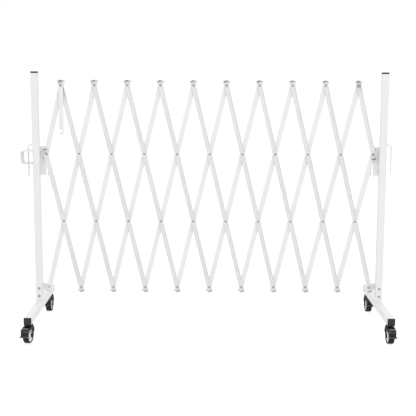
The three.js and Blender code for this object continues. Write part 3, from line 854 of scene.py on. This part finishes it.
def putLoopBracket(values):
    # the strip's outline in X and Z, drawn from the post outwards
    reach, plate, top, bottom = values["reach"], values["plate"], values["top"], values["bottom"]
    bend, topBend = values["bend"], values["topBend"]
    outline = [(0.3, bottom)] + arc(reach - bend, bottom + bend, bend, -90, 0, 9)
    outline += arc(reach - topBend, top - topBend, topBend, 0, 90, 7) + [(0.3, top), (0.3, top - plate)]
    outline += arc(reach - topBend, top - topBend, topBend - plate, 90, 0, 7)
    outline += arc(reach - bend, bottom + bend, bend - plate, 0, -90, 9) + [(0.3, bottom + plate)]
    strip = traced(outline, -values["width"] / 2, values["width"] / 2)
    soften(strip, values["edge"])
    strip = joined([(strip, towardsFront)])
    drill(strip, "z", values["hole"], (values["pin"], 0, 0), 140)
    place = at("left", z=upperPivot, x=-postHalf) @ mirrorFor("right")
    put("loop_bracket_strip", [(strip, place)], powderCoat, "left_frame", "loop_bracket")


putLoopBracket(loop)

rod = {
    "radius": 3, "corners": 20, "bendSteps": 8, "top": 37,
    "pinFoot": -87, "pinBend": 13, "pinOut": 17.3, "collar": 5, "collarHeight": 3,
    "hookFoot": -73, "hookBend": 9, "hookOut": 18.5,
    "weldBead": ((0, 5.4), (0.8, 5.2), (1.7, 4.2), (2.4, 3.2), (2.6, 2.6)),
}


def drawBentRod(foot, bend, reach):
    # up from the foot, round one bend and on along X
    radius, top = rod["radius"], rod["top"]
    piece = turned(((foot, radius - 0.8), (foot + 0.9, radius), (top - bend, radius)), rod["corners"])
    enter(piece)
    pick("faces", lambda middle, way: way.z > straight and middle.z > top - bend - near)
    bpy.ops.mesh.spin(steps=rod["bendSteps"], angle=pi / 2, center=(bend, 0, top - bend), axis=(0, -1, 0))
    bpy.ops.mesh.extrude_region_move(TRANSFORM_OT_translate={"value": (reach - bend, 0, 0)})
    outwards()
    leave()
    return piece


def putRods():
    pin = drawBentRod(rod["pinFoot"], rod["pinBend"], rod["pinOut"] - 1)
    soften(pin, 0.5)
    low, edge = loop["top"] + 0.3, 0.4
    high, wide = low + rod["collarHeight"], rod["collar"]
    collar = turned(
        ((low, wide - edge), (low + edge, wide), (high - edge, wide), (high, wide - edge)), rod["corners"])
    place = at("left", z=upperPivot, x=-postHalf - rod["pinOut"])
    parts = [(pin, place), (collar, place)]
    put("drop_pin_rod", parts, zinc, "drop_pin", "drop_pin")
    hook = drawBentRod(rod["hookFoot"], rod["hookBend"], rod["hookOut"] - 0.3)
    weldBead = turned(rod["weldBead"], rod["corners"])
    place = at("right", z=upperPivot, x=postHalf + rod["hookOut"]) @ mirrorFor("right")
    bead = at("right", z=upperPivot + rod["top"], x=postHalf + 0.1) @ alongX
    put("hook_rod_bar", [(hook, place), (weldBead, bead)], powderCoat, "right_frame", "hook_rod")


putRods()
print("loop, pin and hook rod hang")

caster = {
    "height": 72, "swivel": 226, "trail": 14, "crownTop": 66, "crownThick": 2.8, "crownHalf": 14,
    "inner": 12.3, "plate": 2.2, "axle": 30, "legFoot": 8, "rearDrop": 24, "rearStart": 3, "rearCut": 16,
    "waist": 3, "notchTop": 12, "notchLow": 21, "pinOut": 36.6, "pinUp": 57.5, "pinHub": 4.6,
    "shoulder": 3.4,
    "turns": {"left_front": radians(-9), "right_front": radians(2), "left_rear": 0, "right_rear": 0},
}
wheel = {
    "radius": 30, "tyreHalf": 11.5, "coreShare": 0.86, "hubHalf": 12, "hub": 8, "bore": 3.3, "steps": 48,
}
pedal = {
    "half": 12, "plateHalf": 13.4, "wide": 15.5, "reach": 51, "plate": 3.2, "topRise": 5, "topLedge": 7,
    "thumb": 9.5, "thumbDrop": 5.8, "lip": 13, "lipUp": 2.5, "edge": 1.8, "slope": 4, "pin": 2.3,
}
# an outline in X and Y is stood up in Y and Z, and its thickness lies along X
standing = Matrix(((0, 0, 1, 0), (1, 0, 0, 0), (0, 1, 0, 0), (0, 0, 0, 1)))


def drawCasterHead(values):
    # swivel plate, stem with its nut inside the bar, and the king pin's flange under the crown
    top = values["height"] - 0.3
    low = values["crownTop"] - values["crownThick"] - 0.3
    plate = turned(((top - 3.6, 12.4), (top - 3.1, 13), (top - 0.5, 13), (top, 12.6)), 32)
    stem = turned(
        ((low - 1.4, 5.6), (low - 1.1, 6.5), (low, 6.5), (low, 4), (values["height"] + 14, 4)), 20)
    nut = drawHexHead(6.3, 5, 6.5)
    parts = [(plate, moved()), (stem, moved()), (nut, moved(z=values["height"] + 1.9))]
    return joined(parts)


def drawFork(values):
    # a channel open downwards with rounded shoulders, trimmed to the outline of its legs
    outer = values["inner"] + values["plate"]
    top, half, waist = values["crownTop"], values["crownHalf"], values["waist"]
    pinY, pinZ = -values["pinOut"], values["pinUp"]
    piece = block((-outer, -60, 0), (outer, 40, top))
    enter(piece)
    pick("faces", lambda middle, way: way.z < -straight or abs(way.y) > straight)
    bpy.ops.mesh.delete(type="FACE")
    pick("edges", lambda middle, way: abs(way.y) > straight and middle.z > top - near)
    bpy.ops.mesh.bevel(offset=values["shoulder"], segments=5, affect="EDGES")
    leave()
    finishWith(piece, "SOLIDIFY", thickness=values["plate"], offset=-1)
    outline = [(values["rearStart"], top + 1), (half, top - values["rearCut"])]
    outline += [(half, top - values["rearDrop"])]
    outline += arc(-values["trail"], values["axle"], values["legFoot"], -45, -270, 16)
    outline += [(waist, top - values["notchLow"]), (waist, top - values["notchTop"])]
    outline += arc(pinY, pinZ, values["pinHub"], -60, -270, 12) + [(-half, top - 0.1), (-half, top + 1)]
    trimmer = joined([(traced(outline, -30, 30), standing)])
    enter(trimmer)
    outwards()
    leave()
    combine(piece, trimmer, "INTERSECT")
    crown = turned(
        ((top - values["crownThick"] + 0.5, 13.4), (top - 0.4, 13.4), (top - 0.01, 13)), 32)
    combine(piece, crown, "UNION")
    enter(piece)
    outwards()
    leave()
    drill(piece, "z", 4.3, (0, 0, top), 14)
    soften(piece, 0.3, 1)
    race = spun(
        ((4.3, top - 0.4), (11, top - 0.4), (11, top + 0.7), (10.2, top + 1.8), (4.3, top + 1.8)), 32)
    return joined([(piece, moved()), (race, moved())])


def drawAxle(values):
    outer = values["inner"] + values["plate"]
    shaft = turned(((-outer - 0.5, 3), (outer + 0.5, 3)), 16)
    head = drawHexHead(5.7, 2.4, 6)
    crossPin = turned(((-outer - 1.1, 1.6), (-outer - 0.8, 2), (outer + 0.8, 2), (outer + 1.1, 1.6)), 14)
    place = moved(0, -values["trail"], values["axle"])
    pinPlace = moved(0, -values["pinOut"], values["pinUp"])
    parts = [
        (shaft, place @ alongX), (crossPin, pinPlace @ alongX),
        (head, place @ moved(x=outer) @ alongX), (head, place @ moved(x=-outer) @ turnedBy(-pi / 2, "Y"))]
    return joined(parts)


def drawTyre(values):
    radius, half = values["radius"], values["tyreHalf"]
    inner = radius * values["coreShare"]
    upper = [
        (inner, half * 0.7), (radius * 0.88, half * 0.96), (radius * 0.91, half),
        (radius * 0.95, half * 0.94), (radius * 0.985, half * 0.8), (radius, half * 0.6), (radius, 0)]
    lower = [(r, -h) for r, h in reversed(upper[:-1])]
    return spun(upper + lower, values["steps"])


def drawCore(values):
    # recessed disc with a boss at the bore and a rim that carries the tyre
    radius, hub, bore = values["radius"], values["hub"], values["bore"]
    half, rim = values["hubHalf"], values["tyreHalf"] * 0.7
    upper = [
        (bore, half), (hub - 0.6, half), (hub, half - 0.6), (hub + 1.2, 6.6), (radius * 0.7, 5.8),
        (radius * 0.76, rim), (radius * values["coreShare"], rim)]
    lower = [(r, -h) for r, h in reversed(upper)]
    return spun(upper + lower, values["steps"])


def drawPedal(values):
    front, thin = -values["reach"], values["plate"]
    pinY, pinZ, hub = -caster["pinOut"], caster["pinUp"], caster["pinHub"]
    low, top = caster["axle"] + values["lipUp"], pinZ + values["topRise"]
    shank = arc(pinY, pinZ, hub, -90, 90, 10) + [(front, pinZ + hub), (front, pinZ - hub)]
    shank = soften(traced(shank, -values["half"], values["half"]), 0.5)
    ledge = front - values["topLedge"]
    plate = [
        (front, top), (ledge + 0.8, top - 0.9), (ledge, top - 1.8),
        (front - thin, pinZ), (front - 2 * thin, low + values["slope"]), (front - 2 * thin, low),
        (front - thin, low), (front - thin, (pinZ + low) / 2), (front, pinZ - hub)]
    plate = soften(traced(plate, -values["plateHalf"], values["plateHalf"]), 0.5)
    ledges = []
    thumb = (values["thumb"], values["plateHalf"], pinZ - values["thumbDrop"])
    for reach, half, z in (thumb, (values["lip"], values["wide"], low)):
        outline = [
            (front - thin, z + values["slope"]), (front - reach, z + values["edge"]),
            (front - reach, z), (front - thin, z - 0.9)]
        ledges.append(soften(traced(outline, -half, half), 0.6))
    parts = [(shape, standing) for shape in (shank, plate, *ledges)]
    piece = joined(parts)
    return drill(piece, "x", values["pin"], (0, pinY, pinZ), 60, 16)


def putCasters(values):
    head, fork, axle = drawCasterHead(values), drawFork(values), drawAxle(values)
    tyre, core, treadle = drawTyre(wheel), drawCore(wheel), drawPedal(pedal)
    for side in postX:
        for end, y in (("front", -values["swivel"]), ("rear", values["swivel"])):
            word = f"{side}_{end}"
            place = at(side, y)
            turning = place @ turnedBy(values["turns"][word], "Z")
            spinning = turning @ moved(0, -values["trail"], values["axle"]) @ alongX
            rows = (
                ("head", head, place, blackSteel, f"{side}_frame", "head"),
                ("fork", fork, turning, blackSteel, f"fork_{word}", "fork"),
                ("axle", axle, turning, blackSteel, f"fork_{word}", "fork"),
                ("tyre", tyre, spinning, tyreRubber, f"wheel_{word}", "wheel"),
                ("core", core, spinning, wheelCore, f"wheel_{word}", "wheel"),
                ("pedal", treadle, turning, pedalPlastic, f"pedal_{word}", "pedal"))
            for name, shape, matrix, finish, body, kind in rows:
                put(f"caster_{word}_{name}", [(shape, matrix)], finish, body, f"caster_{kind}_{word}")


putCasters(caster)
print("casters roll")

for shape in set(bpy.data.objects) - given - finished:
    bpy.data.objects.remove(shape)       # the drawn shapes, of which the pieces are copies

studio = {
    "sky": 0.93,
    "backdrop": 1.0,
    "floorBounce": (0.8, 0.8, 0.8, 1),
    "floorShown": (0.34, 0.34, 0.34, 1),
    "floorGlow": 0.78,
    "key": {"place": (0.5, -4.4, 2.4), "aim": (0, 0, 0.5), "size": (3.6, 2.6), "power": 28},
    "top": {"place": (-0.4, -0.6, 3.6), "aim": (0, 0, 0.2), "size": (3.2, 2.2), "power": 10},
}


def seenWhite(finish):
    # 1 where the camera looks, straight or through gloss and glass
    kinds = ("Camera", "Glossy", "Transmission")
    rays = [finish.node("ShaderNodeLightPath", output=f"Is {kind} Ray") for kind in kinds]
    first = finish.node("ShaderNodeMath", {"operation": "MAXIMUM"}, {0: rays[0], 1: rays[1]})
    return finish.node("ShaderNodeMath", {"operation": "MAXIMUM"}, {0: first, 1: rays[2]})


def makeWorld(values):
    world = bpy.data.worlds.new("studio")
    bpy.context.scene.world = world
    finish = Finish("studio", world)
    white = (1, 1, 1, 1)
    sky = finish.node("ShaderNodeBackground", inputs={"Color": white, "Strength": values["sky"]})
    backdrop = finish.node("ShaderNodeBackground", inputs={"Color": white, "Strength": values["backdrop"]})
    mixed = finish.node("ShaderNodeMixShader", inputs={0: seenWhite(finish), 1: sky, 2: backdrop})
    finish.feed(finish.tree.nodes["World Output"].inputs[0], mixed)


def makeFloor(values):
    clear()
    bpy.ops.mesh.primitive_plane_add(size=60)
    floor = bpy.context.object
    floor.name = "floor"
    finish = Finish("floor")
    bounce = finish.node("ShaderNodeBsdfDiffuse", inputs={"Color": values["floorBounce"]})
    shown = finish.node("ShaderNodeBsdfDiffuse", inputs={"Color": values["floorShown"]})
    glow = finish.node("ShaderNodeEmission", inputs={"Strength": values["floorGlow"]})
    lit = finish.node("ShaderNodeAddShader", inputs={0: shown, 1: glow})
    mixed = finish.node("ShaderNodeMixShader", inputs={0: seenWhite(finish), 1: bounce, 2: lit})
    finish.feed(finish.tree.nodes["Material Output"].inputs[0], mixed)
    floor.data.materials.append(finish.holder)


def hangLamp(name, values):
    data = bpy.data.lights.new(name, "AREA")
    data.shape = "RECTANGLE"
    data.size, data.size_y = values["size"]
    data.energy = values["power"]
    lamp = bpy.data.objects.new(name, data)
    bpy.context.scene.collection.objects.link(lamp)
    lamp.location = values["place"]
    lamp.rotation_mode = "QUATERNION"
    lamp.rotation_quaternion = (Vector(values["aim"]) - Vector(values["place"])).to_track_quat("-Z", "Y")


makeWorld(studio)
makeFloor(studio)
hangLamp("key", studio["key"])
hangLamp("top", studio["top"])
bpy.context.scene.view_settings.view_transform = "Standard"
print("studio lit")
